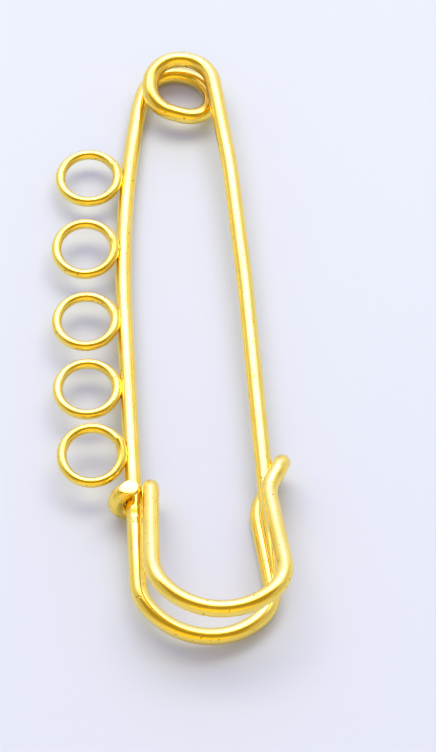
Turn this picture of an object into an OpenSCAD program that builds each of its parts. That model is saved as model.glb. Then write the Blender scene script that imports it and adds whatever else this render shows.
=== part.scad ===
// Charm pin: a large wire safety pin lying closed on a table, with five wire loops soldered to its bar.
// One length of round wire makes the stem, the spring coil, the bar and the doubled catch.
// The frame is in millimetres: +X runs across the pin from the loops to the stem,
// +Y along it from the catch to the coil, and +Z up from the table it lies on.

/* [Wire] */
// Diameter of the wire that the pin is bent from
wire_d = 2; // [1.9:0.05:2.05]
// Clear space left where two stretches of wire lie against each other
wire_gap = 0.05; // [0.02:0.01:0.1]

/* [Coil] */
// Depth of the lower turn on the stem's side, from its far corner to its near one
low_turn = 7; // [6.8:0.1:7.2]
// Depth of the upper turn on the bar's side, from its far corner to its near one
top_turn = 6.5; // [6.3:0.1:6.7]
// Rise of the coil in one full turn
coil_rise = 3.1; // [2.9:0.1:3.2]

/* [Stem] */
// Length of the ground point of the stem
point_l = 9; // [6:0.5:10]
// Diameter that is left at the very tip
tip_d = 0.16; // [0.1:0.02:0.3]

/* [Charm loops] */
// Outside diameter of a charm loop
loop_d = 8.2; // [7.8:0.1:8.2]
// Diameter of the thinner wire that the loops are bent from
loop_wire_d = 1.2; // [1:0.1:1.3]
// Diameter of the neck of solder between a loop and the bar
solder_d = 1; // [0.8:0.1:1.1]

/* [Wrapped end] */
// Height of the flat that is filed on the wire's end
flat_z = 5.65; // [5.4:0.05:6]

/* [Hidden] */
$fn = 32;

// The stem's point: the share of its length that is the long taper, and the diameter at its end
taper_share = 0.65;
taper_end_d = 0.9;
// Where a loop's two ends face each other, in degrees round from +X, and the slit between them
loop_ends_at = 42;
loop_slit = 3;
// Way from the middle of a loop's wire to the middle of the bar
loop_to_bar = [1.2, 0, -0.85];
// How far rods and bends stop short of the seam between them, and how far the ball there swells
seam = 0.03;
seam_swell = 0.01;
// The shortest straight run that is worth a rod of its own
shortest_run = 0.1;
// Sides of a swept wire, and the degrees of bend between its cross-sections
swept_sides = 16;
bend_step = 12;

// Middle of the resting pin, which becomes the origin
middle = [-5.81, 4.03, 0];

// Height of the wire where it rests on the table, and where it has crossed over itself
rest_z = wire_d / 2;
over_z = rest_z + wire_d + wire_gap;

// Names of the columns of every wire table
X = 0;
Y = 1;
Z = 2;
BEND = 3;
// Names of what a cross-section of a swept wire holds
AT = 0;
ALONG = 1;
SHARE = 2;

// Sides of the coil, the near corner on its right, and how much further away the one on its left lies
coil_left_x = -8.5;
coil_right_x = -0.9;
coil_near_y = 35.4;
coil_lean = 1.8;
low_far_y = coil_near_y + low_turn;
top_far_y = coil_near_y + coil_lean + top_turn;

// Corners of the bar: x, y, z, bend radius
BAR = [
    [-9.29, -26, 3.31, 0],
    [-12, 21, 1.77, 150],
    [-10.22, 35.5, 1.28, 0],
];

// Corners of the coil with the lead-in from the bar: x, y, z, bend radius
COIL = [
    [-10.22, 35.5, 1.28, 0],
    [-9.91, 38, 1.2, 18],
    [coil_left_x, low_far_y + 2.1, rest_z, 4],
    [coil_right_x, low_far_y, rest_z + 0.2, 4.1],
    [coil_right_x, coil_near_y, rest_z + 0.35 * coil_rise, 3],
    [coil_left_x, coil_near_y + coil_lean, rest_z + 0.68 * coil_rise, 3.5],
    [coil_left_x, top_far_y, rest_z + coil_rise, 3.6],
    [-1.2, top_far_y, rest_z + coil_rise, 4],
    [-0.5, 39.45, 4.09, 0],
];

// Corners of the stem: x, y, z, bend radius
STEM = [
    [-0.5, 39.45, 4.09, 0],
    [1.48, 27.5, 3.9, 60],
    [3.24, 10.9, 3.6, 150],
    [6.5, -29.3, over_z - 0.05, 0],
];

// Corners of the back bow: x, y, z, bend radius
BACK_BOW = [
    [-9.29, -26, 3.31, 0],
    [-9, -31, 3.3, 4.4],
    [-2.2, -40, 1.9, 8.6],
    [6.55, -31.1, 1.1, 4.6],
    [5.42, -24.5, 1.05, 0],
];

// Corners of the hairpin hook: x, y, z, bend radius
HOOK = [
    [5.42, -24.5, 1.05, 0],
    [4.45, -18.9, rest_z, 5],
    [6.95, -13.7, rest_z, 2],
    [7.75, -14.1, 5.25, 2],
    [5.7, -18.1, 5.25, 4],
    [6.74, -24.5, 6.55, 0],
];

// Corners of the front bow: x, y, z, bend radius
FRONT_BOW = [
    [6.74, -24.5, 6.55, 0],
    [7.9, -31.3, 8, 4.6],
    [0, -38.3, 8.1, 8.5],
    [-7.4, -30.9, 8.2, 5.2],
    [-7.6, -25.5, 6.66, 0],
];

// Corners of the wire's end, wrapped once under the bar: x, y, z, bend radius
END_WRAP = [
    [-7.6, -25.5, 6.66, 0],
    [-7.8, -16.6, 4.3, 1.4],
    [-7.6, -18.3, rest_z, 2.05],
    [-11.77, -19.3, rest_z, 2],
    [-11.77, -18.8, 4.25, 2.05],
    [-10.1, -18.2, 5.2, 0],
];

// Charm loops, from the coil to the catch: x, y, z of the middle, and the tilt that lifts the far side
LOOPS = [
    [-15.85, 26.9, 2.4, 0],
    [-16.05, 16.2, 2.9, 3.5],
    [-15.75, 5.8, 3, -1],
    [-15.4, -3.6, 3, -0.5],
    [-14.65, -13, 3.75, 4],
];

function unit(v) = v / norm(v);
function place_of(corner) = [corner[X], corner[Y], corner[Z]];

// Turn of the wire at a corner, in degrees, and the length of straight wire that its bend takes up
function turn_at(t, i) =
    180 - acos(unit(place_of(t[i - 1]) - place_of(t[i])) * unit(place_of(t[i + 1]) - place_of(t[i])));
function taken_at(t, i) = i == 0 || i == len(t) - 1 ? 0 : t[i][BEND] * tan(turn_at(t, i) / 2);

// Stands its children up at a place, with their +X and +Y along two directions at right angles
module stand(place, x_dir, y_dir) {
    z_dir = cross(x_dir, y_dir);
    multmatrix([
        [x_dir[X], y_dir[X], z_dir[X], place[X]],
        [x_dir[Y], y_dir[Y], z_dir[Y], place[Y]],
        [x_dir[Z], y_dir[Z], z_dir[Z], place[Z]],
        [0, 0, 0, 1],
    ]) children();
}

// A direction at right angles to another, level where it can be
function side_of(v) = abs(v[Z]) > 0.9 ? unit(cross(v, [1, 0, 0])) : unit(cross([0, 0, 1], v));

// Straight round wire from one place to another, with its own diameter at each end
module rod(from, to, from_d, to_d) {
    along = unit(to - from);
    side = side_of(along);
    stand(from, side, cross(along, side)) cylinder(h = norm(to - from), d1 = from_d, d2 = to_d);
}

// The bend of a wire at one corner of its table: a stretch of a torus
module bend(t, i, d) {
    corner = place_of(t[i]);
    back = unit(place_of(t[i - 1]) - corner);
    ahead = unit(place_of(t[i + 1]) - corner);
    turn = turn_at(t, i);
    centre = corner + unit(back + ahead) * t[i][BEND] / cos(turn / 2);
    start = corner + back * taken_at(t, i);
    trim = seam / t[i][BEND] * 180 / PI;
    stand(centre, unit(start - centre), -back) rotate([0, 0, trim])
        rotate_extrude(angle = turn - 2 * trim) translate([t[i][BEND], 0]) circle(d = d);
    translate(start) sphere(d = d + 2 * seam_swell);
    if (run_after(t, i) > shortest_run || i == len(t) - 2)
        translate(corner + ahead * taken_at(t, i)) sphere(d = d + 2 * seam_swell);
}

// Length of the straight wire between one corner's bend and the next
function run_after(t, i) =
    norm(place_of(t[i + 1]) - place_of(t[i])) - taken_at(t, i) - taken_at(t, i + 1);

// A wire along a table of corners: a rod for every straight run and a torus for every bend.
// Both stop a hair short of their seam, and a ball a hair wider than the wire joins them there.
module wire(t, d) {
    last = len(t) - 2;
    for (i = [0:last]) {
        along = unit(place_of(t[i + 1]) - place_of(t[i]));
        from = place_of(t[i]) + along * (taken_at(t, i) + (i == 0 ? 0 : seam));
        to = place_of(t[i + 1]) - along * (taken_at(t, i + 1) + (i == last ? 0 : seam));
        if (run_after(t, i) > shortest_run) rod(from, to, d, d);
    }
    for (i = [1:1:last]) bend(t, i, d);
}

// Cross-sections round the bend at one corner: place, direction of the wire and share of its diameter
function bend_sections(t, i) =
    let (
        corner = place_of(t[i]),
        back = unit(place_of(t[i - 1]) - corner),
        ahead = unit(place_of(t[i + 1]) - corner),
        turn = turn_at(t, i),
        centre = corner + unit(back + ahead) * t[i][BEND] / cos(turn / 2),
        out = unit(corner + back * taken_at(t, i) - centre),
        steps = ceil(turn / bend_step),
        first = run_after(t, i - 1) > shortest_run ? 0 : 1
    )
    [
        for (k = [first:steps])
            let (a = turn * k / steps)
            [centre + t[i][BEND] * (cos(a) * out - sin(a) * back), -cos(a) * back - sin(a) * out, 1],
    ];

// Cross-sections of a whole wire, from the first place of its table to the last
function sections(t) =
    let (last = len(t) - 1)
    [
        [place_of(t[0]), unit(place_of(t[1]) - place_of(t[0])), 1],
        for (i = [1:last - 1]) each bend_sections(t, i),
        [place_of(t[last]), unit(place_of(t[last]) - place_of(t[last - 1])), 1],
    ];

// Cross-sections of the dome at a rounded end of a wire of diameter d
function dome(end, d) = [
    for (a = [20:20:80]) [end[AT] + end[ALONG] * d / 2 * sin(a), end[ALONG], cos(a)],
];

// A direction across the wire at every cross-section, carried along the wire without a twist
function across_all(list) = [
    for (
        i = 0, across = side_of(list[0][ALONG]);
        i < len(list);
        i = i + 1, across = i < len(list) ? unit(across - list[i][ALONG] * (across * list[i][ALONG])) : across
    )
        across,
];

// Round wire of diameter d swept through a list of cross-sections
module swept_wire(list, d) {
    last = len(list) - 1;
    across = across_all(list);
    steps = [for (k = [0:swept_sides - 1]) k];
    polyhedron(
        points = [
            for (i = [0:last], k = steps)
                let (a = 360 / swept_sides * k, up = cross(list[i][ALONG], across[i]))
                list[i][AT] + d / 2 * list[i][SHARE] * (cos(a) * across[i] + sin(a) * up),
        ],
        faces = [
            steps,
            for (i = [0:last - 1], k = steps)
                let (
                    here = i * swept_sides + k,
                    beside = i * swept_sides + (k + 1) % swept_sides
                )
                each [
                    [here, here + swept_sides, beside],
                    [beside, here + swept_sides, beside + swept_sides],
                ],
            [for (k = steps) last * swept_sides + swept_sides - 1 - k],
        ]
    );
}

// The table with its first corner moved on, so that two stretches of the wire don't touch
function opened(t) = [
    for (i = [0:len(t) - 1])
        i == 0 ? concat(place_of(t[0]) + unit(place_of(t[1]) - place_of(t[0])) * wire_gap, [0]) : t[i],
];

module whole() {
    translate(-middle) children();
}

// One charm loop, open by a slit, with the neck of solder that holds it to the bar
module charm_loop(row) {
    r = (loop_d - loop_wire_d) / 2;
    wire_middle = place_of(row) + [r, 0, 0];
    translate(place_of(row)) rotate([row[BEND], 0, 0]) rotate([0, 0, loop_ends_at + loop_slit])
        rotate_extrude(angle = 360 - loop_slit) translate([r, 0]) circle(d = loop_wire_d);
    rod(wire_middle, wire_middle + loop_to_bar, solder_d, solder_d);
}

module loop_bar() {
    color([0.86, 0.66, 0.2]) whole() {
        wire(BAR, wire_d);
        for (row = LOOPS) charm_loop(row);
    }
}

module coil() {
    color([0.84, 0.63, 0.18]) whole() swept_wire(sections(opened(COIL)), wire_d);
}

module back_bow() {
    color([0.8, 0.6, 0.16]) whole() swept_wire(sections(opened(BACK_BOW)), wire_d);
}

module hook() {
    color([0.88, 0.69, 0.24]) whole() swept_wire(sections(opened(HOOK)), wire_d);
}

module front_bow() {
    color([0.83, 0.62, 0.16]) whole() swept_wire(sections(opened(FRONT_BOW)), wire_d);
}

module end_wrap() {
    way = sections(opened(END_WRAP));
    end = way[len(way) - 1];
    reach = 2 * wire_d;
    color([0.78, 0.56, 0.14]) whole() difference() {
        swept_wire(concat(way, dome(end, wire_d)), wire_d);
        translate([end[AT][X] - reach, end[AT][Y] - reach, flat_z])
            cube([reach + 0.55 * wire_d, 2 * reach, reach]);
    }
}

// The stem's straight stretch is turned in one with its point, and its curved root is bent wire
module stem() {
    tip = place_of(STEM[3]);
    from = place_of(STEM[2]);
    along = unit(tip - from);
    side = side_of(along);
    root_l = taken_at(STEM, 2);
    straight_l = norm(tip - from) - root_l - seam;
    color([0.9, 0.72, 0.28]) whole() {
        wire([opened(STEM)[0], STEM[1], STEM[2], concat(from + along * (root_l + shortest_run), [0])], wire_d);
        stand(from + along * (root_l + seam), side, cross(along, side)) rotate_extrude() polygon([
            [0, 0],
            [wire_d / 2, 0],
            [wire_d / 2, straight_l - point_l],
            [taper_end_d / 2, straight_l - point_l * (1 - taper_share)],
            [tip_d / 2, straight_l],
            [0, straight_l],
        ]);
    }
}

loop_bar();
coil();
back_bow();
hook();
front_bow();
end_wrap();
stem();
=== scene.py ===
# %% [markdown]
# # A charm pin bent from one gold-plated wire
# The pin lies closed on a pale table. One round wire, 2 mm thick and about 28 cm long, makes the sprung stem,
# the coil, the long bar and the doubled catch, and five open rings of thinner wire are soldered to the bar.
# Everything here is one form, a round section carried along a path, so the lesson is about paths: how a short
# list of corners becomes a bent wire, and how polished metal gets its looks from what stands round it.
#
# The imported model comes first. It is the exact solid part, and it gives the frame in which we work: metres,
# +X across the pin from the rings to the stem, +Y along it from the catch to the coil, +Z up from the table.

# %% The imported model
import math

import bpy
import numpy as np
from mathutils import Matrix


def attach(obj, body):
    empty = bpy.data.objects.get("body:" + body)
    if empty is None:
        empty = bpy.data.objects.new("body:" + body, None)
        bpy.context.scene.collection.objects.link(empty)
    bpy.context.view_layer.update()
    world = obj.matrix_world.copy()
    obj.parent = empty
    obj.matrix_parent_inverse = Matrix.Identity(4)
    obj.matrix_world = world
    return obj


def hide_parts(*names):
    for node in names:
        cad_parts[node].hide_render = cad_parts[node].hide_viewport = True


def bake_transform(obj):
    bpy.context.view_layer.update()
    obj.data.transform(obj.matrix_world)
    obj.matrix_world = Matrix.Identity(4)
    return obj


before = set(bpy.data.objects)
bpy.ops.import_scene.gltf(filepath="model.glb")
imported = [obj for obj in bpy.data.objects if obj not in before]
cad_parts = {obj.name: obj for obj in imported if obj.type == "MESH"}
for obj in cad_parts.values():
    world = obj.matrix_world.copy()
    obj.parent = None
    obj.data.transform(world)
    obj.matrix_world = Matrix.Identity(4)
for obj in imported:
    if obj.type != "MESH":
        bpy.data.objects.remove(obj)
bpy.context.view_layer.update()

# %% [markdown]
# ## The camera
# The photograph looks down on the table at 59 degrees, with the pin pointing away from it, and its far end
# hardly looks smaller than the near one. So the lens is long and the camera stands well back. The frame is
# 436 by 752, and a sensor of 36 mm on the long side makes the focal length a plain ratio.

# %% The camera
MM = 0.001
LONG_SIDE_PX = 752
FOCAL_PX = 3230
LOOKS_DOWN = math.radians(59)
DISTANCE = 385 * MM
AIM = np.array([5.81, -4.03, 0]) * MM

camera = bpy.data.objects.new("camera", bpy.data.cameras.new("camera"))
bpy.context.scene.collection.objects.link(camera)
bpy.context.scene.camera = camera
camera.data.sensor_width = 36
camera.data.lens = FOCAL_PX / LONG_SIDE_PX * camera.data.sensor_width
camera.data.clip_start = 10 * MM
camera.location = AIM + DISTANCE * np.array([0, -math.cos(LOOKS_DOWN), math.sin(LOOKS_DOWN)])
camera.rotation_euler = (math.pi / 2 - LOOKS_DOWN, 0, 0)
print("lens", round(camera.data.lens, 1), "mm, camera at", [round(c, 3) for c in camera.location])

# %% [markdown]
# ## The wire's corners
# A wire bender thinks in straight runs and bends, and so does this list: each row is a corner, where two
# straight runs would meet, and the radius of the bend that rounds it off. These are the solid model's rows, to
# a hundredth of a millimetre. Here the pieces run on through its joints, because the real wire has none.

# %% The wire's corners
# x, y and z of a corner and the radius of its bend, in millimetres, before MIDDLE moves to the origin
MIDDLE = np.array([-5.81, 4.03, 0])
# A hair under half of 2 mm, so that the round wire stays inside the box of the sixteen-sided solids
WIRE_R = 0.984
BAR_END = [-10.22, 35.5, 1.28, 0]
STEM_START = [-0.5, 39.45, 4.09, 0]

COIL = [
    BAR_END,
    [-9.91, 38, 1.2, 18],
    [-8.5, 44.5, 1, 4],
    [-0.9, 42.4, 1.2, 4.1],
    [-0.9, 35.4, 2.08, 3],
    [-8.5, 37.2, 3.11, 3.5],
    [-8.5, 43.7, 4.1, 3.6],
    [-1.2, 43.7, 4.1, 4],
    STEM_START,
]
STEM = [STEM_START, [1.48, 27.5, 3.9, 60], [3.24, 10.9, 3.6, 150], [6.5, -29.3, 3.0, 0]]
FRAME_WIRE = [
    BAR_END,
    [-12, 21, 1.77, 150],
    [-9.29, -26, 3.31, 0],
    [-9, -31, 3.3, 4.4],
    [-2.2, -40, 1.9, 8.6],
    [6.55, -31.1, 1.1, 4.6],
    [5.42, -24.5, 1.05, 0],
    [4.45, -18.9, 1, 5],
    [6.95, -13.7, 1, 2],
    [7.75, -14.1, 5.25, 2],
    [5.7, -18.1, 5.25, 4],
    [6.74, -24.5, 6.55, 0],
    [7.9, -31.3, 8, 4.6],
    [0, -38.3, 8.1, 8.5],
    [-7.4, -30.9, 8.2, 5.2],
    [-7.6, -25.5, 6.66, 0],
    [-7.8, -16.6, 4.3, 1.4],
    [-7.6, -18.3, 1, 2.05],
    [-11.77, -19.3, 1, 2],
    [-11.77, -18.8, 4.25, 2.05],
    [-10.1, -18.2, 5.2, 0],
]
print("corners:", len(COIL), "in the coil,", len(STEM), "in the stem,", len(FRAME_WIRE), "in the frame")

# %% [markdown]
# ## A bend at a corner
# A bend of radius r at a corner starts r tan(turn / 2) before it and ends as far after it. Between the two
# the wire's middle runs on an arc, and the sum of two square directions, weighted with a cosine and a sine,
# walks round it.

# %% A bend at a corner
ARC_STEP = 0.1


def unit(rows):
    """Each row divided by its own length."""
    return rows / np.linalg.norm(rows, axis=-1, keepdims=True)


def arc(before, corner, after, radius):
    """Bend at one corner: centre + radius (cos a out + sin a ahead), with a from 0 to the turn.

    out points from the bend's centre to where it starts, and ahead is the wire's direction there."""
    back, onward = unit(before - corner), unit(after - corner)
    turn = math.pi - math.acos(float(np.clip(back @ onward, -1, 1)))
    if radius == 0 or turn < 1e-6:
        return corner[None]
    centre = corner + unit(back + onward) * radius / math.cos(turn / 2)
    out = unit(corner + back * radius * math.tan(turn / 2) - centre)
    a = np.linspace(0, turn, max(3, int(radius * turn / ARC_STEP)))[:, None]
    return centre + radius * (np.cos(a) * out - np.sin(a) * back)


square_bend = arc(*np.array([[0.0, 9, 0], [0, 0, 0], [9, 0, 0]]), 4)
from_centre = np.linalg.norm(square_bend - [4, 4, 0], axis=1)
print("nearest and furthest on a bend of radius 4:", from_centre.min().round(6), from_centre.max().round(6))

# %% [markdown]
# ## Springing back
# Bending pins don't stop a bend dead. Hard wire springs back a little and eases into the straight, and on
# polished metal the eye reads that in the reflections. So the line of runs and arcs is walked in even steps
# and averaged over about a millimetre, which rounds the joins off and moves nothing that can be seen.

# %% Springing back
SPACING = 0.2
# Places on either side that a place is averaged with
EASED_OVER = 4


def way_along(line):
    """How far each place is from the first one, walked along the line."""
    return np.concatenate([[0], np.cumsum(np.linalg.norm(np.diff(line, axis=0), axis=1))])


def read_off(line, marks):
    """Places of the line at the given ways along it: each coordinate is interpolated by itself."""
    way = way_along(line)
    return np.column_stack([np.interp(marks, way, line[:, k]) for k in range(3)])


def even(line, spacing):
    """The same line with its places equally far apart: they are read off at equal steps of the way walked."""
    length = way_along(line)[-1]
    return read_off(line, np.linspace(0, length, int(length / spacing) + 1))


def eased(line, reach):
    """Each place becomes the mean of its neighbours, weighted with 1 + cos. Beyond an end the line goes on as
    its own mirror image through the end point, so the ends keep their places and directions."""
    weights = 1 + np.cos(np.linspace(-math.pi, math.pi, 2 * reach + 3)[1:-1])
    weights /= weights.sum()
    head = 2 * line[0] - line[reach:0:-1]
    tail = 2 * line[-1] - line[-2:-reach - 2:-1]
    long_line = np.vstack([head, line, tail])
    return np.column_stack([np.convolve(long_line[:, k], weights, "valid") for k in range(3)])


def centre_line(corners):
    """Middle of the wire along a list of corners, in millimetres in the part's frame."""
    rows = np.array(corners, float)
    places = rows[:, :3] - MIDDLE
    bends = [arc(*places[i - 1:i + 2], rows[i, 3]) for i in range(1, len(rows) - 1)]
    return eased(even(np.vstack([places[:1], *bends, places[-1:]]), SPACING), EASED_OVER)


coil_line = centre_line(COIL)
stem_line = centre_line(STEM)
frame_line = centre_line(FRAME_WIRE)
lines = [coil_line, stem_line, frame_line]
wire_length = sum(way_along(line)[-1] for line in lines)
print("wire length", round(wire_length, 1), "mm in", sum(len(line) for line in lines), "places")

# %% [markdown]
# ## Directions across the wire
# The wire is round, so its surface is centre + radius (cos v across + sin v up), with v going round. Any two
# directions square to the wire would do, but if they spin about it, the faces twist and so do the fine draw
# lines in the finish. The usual cure walks along the wire and tips the directions over ring by ring. The same
# thing can be had for the whole wire at once: guess any square direction at every place, measure by how much
# each guess has slipped round against the one before, and take the running sum of the slips off again.

# %% Directions across the wire
def dot(a, b):
    """Sum of the products of two arrays of rows, kept as a column."""
    return np.sum(a * b, axis=-1, keepdims=True)


def across_the(along):
    """A direction square to the wire at every place, which doesn't twist along it.

    Tipping a guess g from direction a to b is g (a.b) + (a x b) x g + (a x b) ((a x b).g) / (1 + a.b)."""
    axis = np.eye(3)[np.abs(along).argmin(axis=1)]
    guess = unit(np.cross(along, axis))
    a, b, g = along[:-1], along[1:], guess[:-1]
    turn = np.cross(a, b)
    tipped = g * dot(a, b) + np.cross(turn, g) + turn * dot(turn, g) / (1 + dot(a, b))
    slip = np.arctan2(dot(guess[1:], np.cross(b, tipped)), dot(guess[1:], tipped))
    spin = np.vstack([[[0]], np.cumsum(slip, axis=0)])
    return np.cos(spin) * guess - np.sin(spin) * np.cross(along, guess)


coil_along = unit(np.gradient(coil_line, axis=0))
lean = np.abs(dot(coil_along, across_the(coil_along))).max()
print("most that a direction across the coil's wire leans along it:", lean.round(6))

# %% [markdown]
# ## A tube and its ends
# One round section at every place makes the tube. An end is shaped by more sections beyond the last place,
# each with its own share of the radius, so one function makes domes, cut ends and the short stretch by which
# a wire runs on inside the next one.

# %% A tube and its ends
def tube(line, radii, sides):
    """Surface line + radius (cos v across + sin v up), one ring of points for every place on the line."""
    along = unit(np.gradient(line, axis=0))
    across = across_the(along)
    up = np.cross(along, across)
    v = np.arange(sides)[None, :, None] * 2 * math.pi / sides
    ring = np.cos(v) * across[:, None] + np.sin(v) * up[:, None]
    return line[:, None] + np.reshape(radii, (-1, 1, 1)) * ring


def with_end(line, radii, rise, share):
    """Line and radii with a shaped end: a few more rings, each with its own rise and share.

    rise is how far beyond the line a ring stands, share is its size, and both count in radii of the end. So
    a dome is rise = sin t, share = cos t, and a cut end with a small burr worn off is a short rise and then
    a share that falls to nothing on the spot."""
    onward = unit(line[-1] - line[-2])
    more = line[-1] + onward * radii[-1] * np.reshape(rise, (-1, 1))
    return np.vstack([line, more]), np.concatenate([radii, radii[-1] * np.asarray(share)])


def run_on(line, radii):
    """Carries a wire half a radius on inside the next stretch: its share of the radius is 1 - d^2 / 20.

    d is how far it has run on, in radii. So the ring at the joint still has its neighbours on both sides, and
    the polish runs over it unbroken."""
    d = np.linspace(0.1, 0.5, 5)
    return with_end(line, radii, d, 1 - d * d / 20)


def at_the_start(shape, line, radii, *profile):
    """An end shape put on the first end of a line."""
    line, radii = shape(line[::-1], radii[::-1], *profile)
    return line[::-1], radii[::-1]


def at_both_ends(shape, line, radii, *profile):
    """The same end shape put on the last end of a line, and then on its first."""
    return at_the_start(shape, *shape(line, radii, *profile), *profile)


line, radii = at_both_ends(run_on, coil_line, np.full(len(coil_line), WIRE_R))
print("rings of the coil:", len(coil_line), "and with both ends run on:", len(line))

# %% [markdown]
# ## From rings to faces
# The rings go into Blender in one piece: a grid of quads between them and one last point that closes each
# end. Every quad's corners run the same way round, so that all faces look outwards.

# %% From rings to faces
def grid_faces(rings, sides):
    """Quads (i, k), (i, k+1), (i+1, k+1), (i+1, k) of a tube, closed in k, as an array of point numbers."""
    i, k = np.meshgrid(np.arange(rings - 1), np.arange(sides), indexing="ij")
    here, beside = i * sides + k, i * sides + (k + 1) % sides
    return np.stack([here, beside, beside + sides, here + sides], -1).reshape(-1, 4)


def end_faces(ring_start, sides, pole, outward_last):
    """Triangles from the last ring to the point that closes it."""
    here = ring_start + np.arange(sides)
    beside = ring_start + (np.arange(sides) + 1) % sides
    fan = [here, beside] if outward_last else [beside, here]
    return np.column_stack([*fan, np.full(sides, pole)])


print("two rings of three points make the quads", grid_faces(2, 3).tolist())

# %% [markdown]
# ## The wire rolled out flat
# Some marks follow the wire, such as the lines that its die left. So the UV map is the wire rolled out flat,
# with the way along it in one direction and the turn round it in the other.

# %% The wire rolled out flat
def rolled_out(points, sides):
    """UV of every face corner: (way along the wire in mm / 100, share of a turn round it)."""
    way = way_along(points.mean(axis=1)) / 100
    i, k = np.meshgrid(np.arange(len(points) - 1), np.arange(sides), indexing="ij")
    u = np.stack([way[i], way[i], way[i + 1], way[i + 1]], -1)
    v = np.stack([k, k + 1, k + 1, k], -1) / sides
    quads = np.stack([u, v], -1).reshape(-1, 2)
    turn = np.arange(sides) / sides
    round_it = np.column_stack([turn, turn + 1 / sides, turn])
    fan = [np.stack([np.full((sides, 3), w), round_it], -1) for w in way[[0, -1]]]
    return np.vstack([quads, *[f.reshape(-1, 2) for f in fan]])


def shell_of(points):
    """Points, faces and UVs of a closed tube. points has shape (rings, sides, 3), in millimetres."""
    rings, sides = points.shape[:2]
    poles = points[[0, -1]].mean(axis=1)
    places = np.vstack([points.reshape(-1, 3), poles])
    quads = grid_faces(rings, sides)
    first = end_faces(0, sides, rings * sides, False)
    last = end_faces((rings - 1) * sides, sides, rings * sides + 1, True)
    return places, [quads, first, last], rolled_out(points, sides)


places, faces, uvs = shell_of(tube(coil_line[:5], np.full(5, WIRE_R), 8))
print("five rings of eight:", len(places), "points,", sum(len(part) for part in faces), "faces")
print("corners that need a UV:", sum(part.size for part in faces), "and UVs:", len(uvs))

# %% [markdown]
# ## A piece of the pin
# An object is made from one or more closed tubes, with its place in its mesh. It rides on one of the part's
# bodies, or on none, and it stands for the solids of its stretch of wire.

# %% A piece of the pin
def piece(name, shells, material, body, *nodes):
    """One Blender object from closed shells in millimetres, with smooth sides and flat caps.

    body names the body that it rides on. Two bodies and two places in its stead are not used: the piece then
    keeps its place baked into its mesh."""
    starts = np.cumsum([0] + [len(places) for places, _, _ in shells[:-1]])
    places = np.vstack([places for places, _, _ in shells]) * MM
    faces = [part + start for (_, parts, _), start in zip(shells, starts) for part in parts]
    mesh = bpy.data.meshes.new(name)
    mesh.from_pydata(places.tolist(), [], [face for part in faces for face in part.tolist()])
    uvs = np.vstack([uv for _, _, uv in shells])
    mesh.uv_layers.new(name="rolled_out").data.foreach_set("uv", uvs.ravel())
    corners = np.empty(len(mesh.polygons), int)
    mesh.polygons.foreach_get("loop_total", corners)
    mesh.polygons.foreach_set("use_smooth", corners == 4)
    mesh.materials.append(material)
    mesh.update()
    made = bpy.data.objects.new(name, mesh)
    bpy.context.scene.collection.objects.link(made)
    if isinstance(body, str):
        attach(made, body)
    else:
        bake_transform(made)
    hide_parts(*nodes)
    print(name, len(mesh.vertices), "points,", len(mesh.polygons), "faces")


# %% [markdown]
# ## Maths between sockets
# A finish is a small calculation: this much noise, above that level, in these places. Node by node it is hard
# to read, so a socket is wrapped in a class whose operators add the Math nodes, and the calculation is
# written as it would be on paper.

# %% Maths between sockets
class Socket:
    """One output of a node. Python's + - and * on it add Math nodes, also with the number in front."""

    def __init__(self, output):
        self.output = output
        self.tree = output.id_data

    @classmethod
    def add(cls, tree, kind, settings=None, values=None, out=0):
        """A new node: its settings first, then the values or links of its sockets, and one output back."""
        node = tree.nodes.new(kind)
        for name, setting in (settings or {}).items():
            setattr(node, name, setting)
        for name, value in (values or {}).items():
            if isinstance(value, cls):
                tree.links.new(value.output, node.inputs[name])
            else:
                node.inputs[name].default_value = value
        return cls(node.outputs[out])

    def to(self, socket):
        """Links this output to an input."""
        self.tree.links.new(self.output, socket)

    def math(self, operation, first, second):
        """A Math node with two values or links."""
        return self.add(self.tree, "ShaderNodeMath", {"operation": operation}, {0: first, 1: second})

    def __add__(self, other):
        return self.math("ADD", self, other)

    def __radd__(self, other):
        return self.math("ADD", other, self)

    def __sub__(self, other):
        return self.math("SUBTRACT", self, other)

    def __rsub__(self, other):
        return self.math("SUBTRACT", other, self)

    def __mul__(self, other):
        return self.math("MULTIPLY", self, other)

    def __rmul__(self, other):
        return self.math("MULTIPLY", other, self)

    def step(self, low, high):
        """0 below low, 1 above high and a smooth climb between them."""
        settings = {"interpolation_type": "SMOOTHSTEP"}
        values = {"Value": self, "From Min": low, "From Max": high}
        return self.add(self.tree, "ShaderNodeMapRange", settings, values)


def mixed(tree, share, first, second):
    """Colour first where share is 0 and second where it is 1.

    A Mix node has sockets for numbers, vectors and colours: 0 is the share, 6 and 7 are the two colours, and
    output 2 is the mixed one."""
    settings = {"data_type": "RGBA"}
    return Socket.add(tree, "ShaderNodeMix", settings, {0: share, 6: first, 7: second}, out=2)


# %% [markdown]
# ## The gold plate
# Thin gold over brass, barrel polished: a mirror with faults. At this scale four of them show. The plate has
# a faint orange-peel skin from polishing, with lumps a few tenths of a millimetre across. The wire was pulled
# through a die, which leaves hair-thin lines along it. Its colour drifts a little between lemon and orange
# where the plate is thinner. And there are small dark pits and nicks where it was handled.
#
# Metal has no colour of its own besides what it reflects, so the base colour is the tint of its mirror. A
# thin dull coat over it is the haze of fingers and air, which pales the rims a little.

# %% The gold plate
# Lumps in a metre for each lump in a millimetre
PER_MM = 1000
LEMON = (1.0, 0.765, 0.15, 1)
ORANGE = (0.98, 0.725, 0.12, 1)
DARK_PIT = (0.28, 0.13, 0.01, 1)
# Streaks in 100 mm along the wire, and in one turn round it
DIE_LINES = (45, 42, 1)


def noise(tree, place, scale, detail=2.0):
    """Soft noise between 0 and 1 with about scale lumps to the unit of place."""
    return Socket.add(tree, "ShaderNodeTexNoise", {}, {"Vector": place, "Scale": scale, "Detail": detail})


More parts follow.
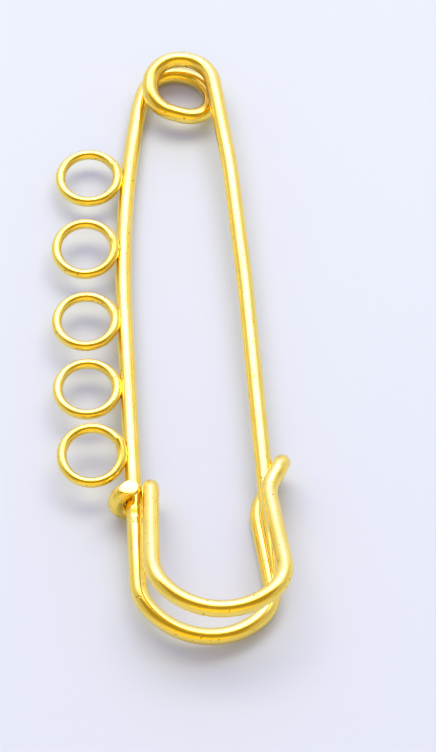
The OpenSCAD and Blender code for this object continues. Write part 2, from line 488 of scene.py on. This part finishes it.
def stretched(tree, place, scale):
    """The same place with each of its axes multiplied by its own number."""
    return Socket.add(tree, "ShaderNodeVectorMath", {"operation": "MULTIPLY"}, {0: place, 1: scale})


def gold_plate(name):
    """Metal mirror whose tint, polish and small relief vary over the wire."""
    material = bpy.data.materials.new(name)
    material.use_nodes = True
    tree = material.node_tree
    shader = tree.nodes["Principled BSDF"]
    here = Socket.add(tree, "ShaderNodeTexCoord", out="Object")
    rolled = Socket.add(tree, "ShaderNodeUVMap", {"uv_map": "rolled_out"})

    drift = noise(tree, here, 0.26 * PER_MM, 1.0).step(0.35, 0.65)
    skin = noise(tree, here, 2.6 * PER_MM)
    lines = noise(tree, stretched(tree, rolled, DIE_LINES), 1.0, 3.0)
    pits = noise(tree, here, 3.3 * PER_MM, 0.0).step(0.77, 0.8)
    worn = noise(tree, here, 0.7 * PER_MM, 3.0).step(0.5, 0.75)

    tint = mixed(tree, drift, LEMON, ORANGE)
    mixed(tree, pits * 0.75, tint, DARK_PIT).to(shader.inputs["Base Color"])
    rough = 0.15 + 0.05 * worn + 0.05 * lines + 0.3 * pits
    rough.to(shader.inputs["Roughness"])
    relief = skin * 0.6 + lines * 0.35 - pits * 2.0
    bump = {"Strength": 0.25, "Distance": 0.03 * MM, "Height": relief}
    Socket.add(tree, "ShaderNodeBump", {}, bump).to(shader.inputs["Normal"])
    shader.inputs["Metallic"].default_value = 1.0
    shader.inputs["Coat Weight"].default_value = 0.18
    shader.inputs["Coat Roughness"].default_value = 0.35
    shader.inputs["Coat IOR"].default_value = 1.5
    return material


plate = gold_plate("gold_plate")
print("gold plate:", len(plate.node_tree.nodes), "nodes")

# %% [markdown]
# ## The file and the pliers
# The wire's cut end has been filed flat so that it doesn't snag. The file rocks a little, so the flat is
# faintly crowned and its edge is soft. And the pliers that closed the last bend left a shallow nip on top of
# the bar. Both are moves of the finished tube's points: a file takes everything above its stroke down to it,
# and a nip sinks the points near it.

# %% The file and the pliers
def filed(points, middle, stroke_r, edge):
    """Soft minimum of z and the file's stroke: z - edge log(1 + exp((z - stroke) / edge)).

    The file rocks on a radius, so the stroke is the height of the flat's middle - d^2 / (2 stroke_r), with d
    the distance from that middle."""
    z = points[..., 2]
    stroke = middle[2] - np.sum((points[..., :2] - middle[:2]) ** 2, axis=-1) / (2 * stroke_r)
    cut = z - edge * np.logaddexp(0, (z - stroke) / edge)
    return np.concatenate([points[..., :2], cut[..., None]], -1)


def nipped(points, place, reach, depth):
    """Presses a dent: points sink by depth exp(-d^2), with d their distance from it in units of reach."""
    d_squared = np.sum(((points - place) / reach) ** 2, axis=-1)
    return points - np.array([0, 0, depth]) * np.exp(-d_squared)[..., None]


too_high = np.array([[0.0, 0, 6]])
cut_down = filed(too_high, np.array([0, 0, 5]), 9, 0.02)
print("a point 1 mm above a stroke at 5 mm is filed to", cut_down[0, 2].round(3), "mm")

# %% [markdown]
# ## The frame wire
# From the coil the wire runs down the bar, round the lower bow, up into the hairpin that catches the stem,
# back round the upper bow and once under the bar to its filed end. All of this is one stretch of wire, so it
# is made as one piece. The rings stand closer together over the last few millimetres, because the flat cuts
# through them at a slant. Only the last rings are filed, or the stroke would cut the bows as well.

# %% The frame wire
SIDES = 48
CLOSE_STRETCH = 3.2
CLOSE_SPACING = 0.06
FILED_RINGS = 69
FLAT_MIDDLE = np.array([-10.7, -18.4, 5.65]) - MIDDLE
STROKE_R = 9
FLAT_EDGE = 0.02
NIP = np.array([-9.6, -21, 4.1]) - MIDDLE
NIP_REACH = np.array([1.3, 0.75, 1.3])
NIP_DEPTH = 0.2


def closer_at_the_end(line, stretch, spacing):
    """The line with places spacing apart over its last stretch, and as it was before it."""
    way = way_along(line)
    keep = line[way < way[-1] - stretch]
    return np.vstack([keep, read_off(line, np.arange(way[len(keep)], way[-1] + spacing / 2, spacing))])


dome = np.linspace(0, math.pi / 2, 14)[1:-1]
line = closer_at_the_end(frame_line, CLOSE_STRETCH, CLOSE_SPACING)
line, radii = with_end(line, np.full(len(line), WIRE_R), np.sin(dome), np.cos(dome))
line, radii = at_the_start(run_on, line, radii)
points = tube(line, radii, SIDES)
points[-FILED_RINGS:] = filed(points[-FILED_RINGS:], FLAT_MIDDLE, STROKE_R, FLAT_EDGE)
shell = shell_of(nipped(points, NIP, NIP_REACH, NIP_DEPTH))
piece("frame_wire", [shell], plate, "frame", "loop_bar", "back_bow", "hook", "front_bow", "end_wrap")

# %% [markdown]
# ## The coil
# One full turn and a bit more, climbing by its own thickness as it goes, so that it lies on itself. This is
# the spring. When the stem is pressed in, the coil gives a little all the way round, but this piece doesn't:
# the places where it leaves the bar and runs into the stem are worked out, and its place is baked into its
# mesh.

# %% The coil
towards_stem = unit(np.array(STEM_START[:3]) - np.array(BAR_END[:3]))
blend_from = (np.array(BAR_END[:3]) - MIDDLE + towards_stem * WIRE_R) * MM
blend_to = (np.array(STEM_START[:3]) - MIDDLE - towards_stem * WIRE_R) * MM
line, radii = at_both_ends(run_on, coil_line, np.full(len(coil_line), WIRE_R))
points = tube(line, radii, SIDES)
piece("coil_wire", [shell_of(points)], plate, ("frame", "stem", tuple(blend_from), tuple(blend_to)), "coil")

# %% [markdown]
# ## The stem
# The free end of the wire is ground to a point on a belt: a long taper that takes off half of the thickness,
# and a short one to the tip. The grinder rounds over where each begins, so each radius becomes the mean of
# its neighbours.

# %% The stem
POINT_LENGTH = 9.0
SHORT_TAPER = 0.35 * POINT_LENGTH
SHORT_TAPER_R = 0.45
TIP_R = 0.08
ROUNDED_OVER = 9

way_left = way_along(stem_line[::-1])[::-1]
taper = np.interp(way_left, [0, SHORT_TAPER, POINT_LENGTH], [TIP_R, SHORT_TAPER_R, WIRE_R])
padded = np.pad(taper, ROUNDED_OVER // 2, mode="edge")
taper = np.convolve(padded, np.full(ROUNDED_OVER, 1 / ROUNDED_OVER), "valid")
line, radii = with_end(stem_line, taper, np.sin(dome), np.cos(dome))
line, radii = at_the_start(run_on, line, radii)
piece("stem_wire", [shell_of(tube(line, radii, SIDES))], plate, "stem", "stem")

# %% [markdown]
# ## The charm loops
# Each is cut from a spring of 1.2 mm wire and pressed nearly shut, so its two ends meet with a small step,
# one a little above the other. A loop is a circle that climbs towards its first end, over a third of the way
# round, and both ends are cut square.

# %% The charm loops
LOOP_R = 3.5
LOOP_WIRE_R = 0.6
LOOP_RINGS = 150
LOOP_SIDES = 24
# The slit between the two ends and the climb to the raised one, as angles round the loop
SLIT = math.radians(3)
CLIMB = 2.1
# The rings of a cut end: how far beyond the loop's line they stand, and their size, in radii of the wire
CUT_RISE = np.array([0.05, 0.08, 0.1, 0.102, 0.104])
CUT_SHARE = np.array([0.99, 0.96, 0.9, 0.5, 0.2])
# x, y and z of the middle, tilt that lifts the far side, angle of the ends, and height of their step
LOOPS = [
    [-15.85, 26.9, 2.4, 0, 31, 0.3],
    [-16.05, 16.2, 2.9, 3.5, 21, 0.35],
    [-15.75, 5.8, 3, -1, 19, 0.35],
    [-15.4, -3.6, 3, -0.5, 22, 0.15],
    [-14.65, -13, 3.75, 4, 34, 0.5],
]


def loop_line(x, y, z, tilt, ends_at, step):
    """Circle (r cos a, r sin a, lift) that runs clockwise from its raised end and is tilted about X.

    lift = step (1 - t)^3, where t goes from 0 at the raised end to 1 at an angle of CLIMB from it."""
    a = math.radians(ends_at) - np.linspace(SLIT / 2, 2 * math.pi - SLIT / 2, LOOP_RINGS)
    lift = step * (1 - np.clip((a[0] - a) / CLIMB, 0, 1)) ** 3
    flat = np.column_stack([LOOP_R * np.cos(a), LOOP_R * np.sin(a), lift])
    c, s = math.cos(math.radians(tilt)), math.sin(math.radians(tilt))
    return flat @ np.array([[1, 0, 0], [0, c, s], [0, -s, c]]) + [x, y, z] - MIDDLE


print("wire in one loop:", way_along(loop_line(*LOOPS[0]))[-1].round(1), "mm")

# %% [markdown]
# ## The solder
# Each loop is soldered to the shoulder of the bar. Solder runs into the groove between two wires and draws
# back to a waist in the middle, so its bead is one more tube, with a radius that changes along it. It starts
# inside the loop's wire and ends inside the bar, and it belongs to the loop's piece.

# %% The solder
LOOP_TO_BAR = np.array([1.2, 0, -0.85])
# Where the bead starts and ends, as shares of the way from the loop's line to the bar
BEAD_START = -0.08
BEAD_END = 0.92
SHOULDER_R = 0.72
WAIST = 0.72


def solder(contact, onward):
    """Bead between two wires: radius = shoulder (waist + (1 - waist) d^2), with d from -1 through 0 to 1."""
    d = np.linspace(-1, 1, 15)
    line = contact + onward * np.linspace(BEAD_START, BEAD_END, len(d))[:, None]
    return tube(line, SHOULDER_R * (WAIST + (1 - WAIST) * d * d), LOOP_SIDES)


for number, row in enumerate(LOOPS, 1):
    line = loop_line(*row)
    line, radii = at_both_ends(with_end, line, np.full(len(line), LOOP_WIRE_R), CUT_RISE, CUT_SHARE)
    contact = np.array(row[:3]) + [LOOP_R, 0, 0] - MIDDLE
    shells = [shell_of(tube(line, radii, LOOP_SIDES)), shell_of(solder(contact, LOOP_TO_BAR))]
    piece(f"loop_{number}", shells, plate, "frame")

# %% [markdown]
# ## The table
# A plain sheet of pale paper. Its colour is painted a little brighter towards the back: a painted gradient of
# light, not a change in the paper. Its blue is held down, because the lamp that fills the shadows, further on,
# brings plenty.

# %% The table
TABLE_HALF = 3.0
# Near and far colour of the paper: the far one is painted brighter, a painted gradient of light over the table
NEAR_PAPER_PAINTED_DIMMER = (0.63, 0.678, 0.488, 1)
FAR_PAPER_PAINTED_BRIGHTER = (0.65, 0.71, 0.5, 1)


def flat_table(half):
    """A square table top at z = 0."""
    mesh = bpy.data.meshes.new("table")
    corners = np.array([[-1, -1, 0], [1, -1, 0], [1, 1, 0], [-1, 1, 0]]) * half
    mesh.from_pydata(corners.tolist(), [], [[0, 1, 2, 3]])
    made = bpy.data.objects.new("table", mesh)
    bpy.context.scene.collection.objects.link(made)
    return made


table = flat_table(TABLE_HALF)
paper = bpy.data.materials.new("pale_paper")
paper.use_nodes = True
tree = paper.node_tree
shader = tree.nodes["Principled BSDF"]
here = Socket.add(tree, "ShaderNodeTexCoord", out="Object")
along_y = Socket.add(tree, "ShaderNodeSeparateXYZ", {}, {0: here}, out="Y")
# Painted light: the paper goes from the dimmer near colour to the brighter far one across the middle of the
# table
mixed(tree, along_y.step(-0.07, 0.06), NEAR_PAPER_PAINTED_DIMMER, FAR_PAPER_PAINTED_BRIGHTER).to(shader.inputs["Base Color"])
shader.inputs["Roughness"].default_value = 0.85
table.data.materials.append(paper)
print("table:", 2 * TABLE_HALF, "m across")

# %% [markdown]
# ## What stands round it
# Polished gold shows its surroundings, so they are the other half of the finish. Here they are a white tent:
# bright behind the pin with a bluish window in it, dimmer at the sides and in front, and open towards a warm
# room behind the camera, which gives the faces that look at us their deep yellow. Each part is a mask over
# the directions, from 0 where it isn't to 1 where it is, and the light is their weighted sum.

# %% What stands round it
ROOM_UP = math.radians(59)
WALLS = (1.0, 0.97, 1.0, 1)
DAYLIGHT = (0.94, 1.0, 1.8, 1)
WINDOW = (0.95, 1.0, 2.8, 1)
ROOM = (1.4, 1.03, 0.2, 1)

world = bpy.data.worlds.new("white_tent")
bpy.context.scene.world = world
world.use_nodes = True
tree = world.node_tree
direction = Socket.add(tree, "ShaderNodeTexCoord")
axes = tree.nodes.new("ShaderNodeSeparateXYZ")
direction.to(axes.inputs[0])
sideways, backward, height = (Socket(axis) for axis in axes.outputs)

rear = backward.step(0.0, 0.2)
side = (sideways * sideways).step(0.3, 0.7)
front = (0 - backward).step(0.5, 0.8)
in_the_middle = 1 - (sideways * sideways).step(0.0, 0.16)
window = in_the_middle * height.step(0.2, 0.38) * (1 - height.step(0.86, 0.93)) * rear
room = (math.sin(ROOM_UP) * height - math.cos(ROOM_UP) * backward).step(0.4, 0.9)
daylight = rear * (1 - 0.3 * side)
light = 0.12 + 0.92 * daylight + 0.5 * side * (1 - rear) + 0.6 * front + 0.65 * window + 0.18 * room
light.to(tree.nodes["Background"].inputs["Strength"])

tint = mixed(tree, rear * (1 - side), WALLS, DAYLIGHT)
tint = mixed(tree, window, tint, WINDOW)
mixed(tree, room, tint, ROOM).to(tree.nodes["Background"].inputs["Color"])
print("surroundings:", len(tree.nodes), "nodes")

# %% [markdown]
# ## Two lamps
# A wide, soft key light high behind the pin draws the thin white line along every wire and throws the shadows
# that fall towards us.
#
# The gold also throws yellow light into those shadows, and in the photograph they are a cool grey. So a wide
# blue lamp hangs overhead that the metal doesn't mirror: it only fills the shadows on the paper.

# %% Two lamps
KEY_HEIGHT = math.radians(60)
KEY_DISTANCE = 1.2
# How wide the key light looks from the pin, across and up
KEY_ACROSS = math.radians(60)
KEY_UP = math.radians(25)
KEY_WATTS = 7.7
KEY_COLOUR = (1.1, 1.0, 0.84)
SKY_PLACE = np.array([0, -0.3, 1])
SKY_SIZE = (1.5, 1.5)
SKY_WATTS = 5.6
SKY_COLOUR = (0.03, 0.2, 2.0)


def lamp(name, size, energy, colour, place):
    """A rectangular area light that the camera doesn't see, hanging level over the pin until it is turned."""
    made = bpy.data.objects.new(name, bpy.data.lights.new(name, "AREA"))
    bpy.context.scene.collection.objects.link(made)
    made.data.shape = "RECTANGLE"
    made.data.size, made.data.size_y = size
    made.data.energy, made.data.color = energy, colour
    made.location = AIM + place
    made.visible_camera = False
    return made


key_size = [2 * KEY_DISTANCE * math.tan(angle / 2) for angle in (KEY_ACROSS, KEY_UP)]
key_place = KEY_DISTANCE * np.array([0, math.cos(KEY_HEIGHT), math.sin(KEY_HEIGHT)])
key = lamp("key_light", key_size, KEY_WATTS, KEY_COLOUR, key_place)
key.rotation_euler = (KEY_HEIGHT - math.pi / 2, 0, 0)
sky = lamp("sky_light", SKY_SIZE, SKY_WATTS, SKY_COLOUR, SKY_PLACE)
sky.visible_glossy = False
bpy.context.scene.view_settings.view_transform = "Standard"
print("key light", round(key.data.size, 3), "m across")
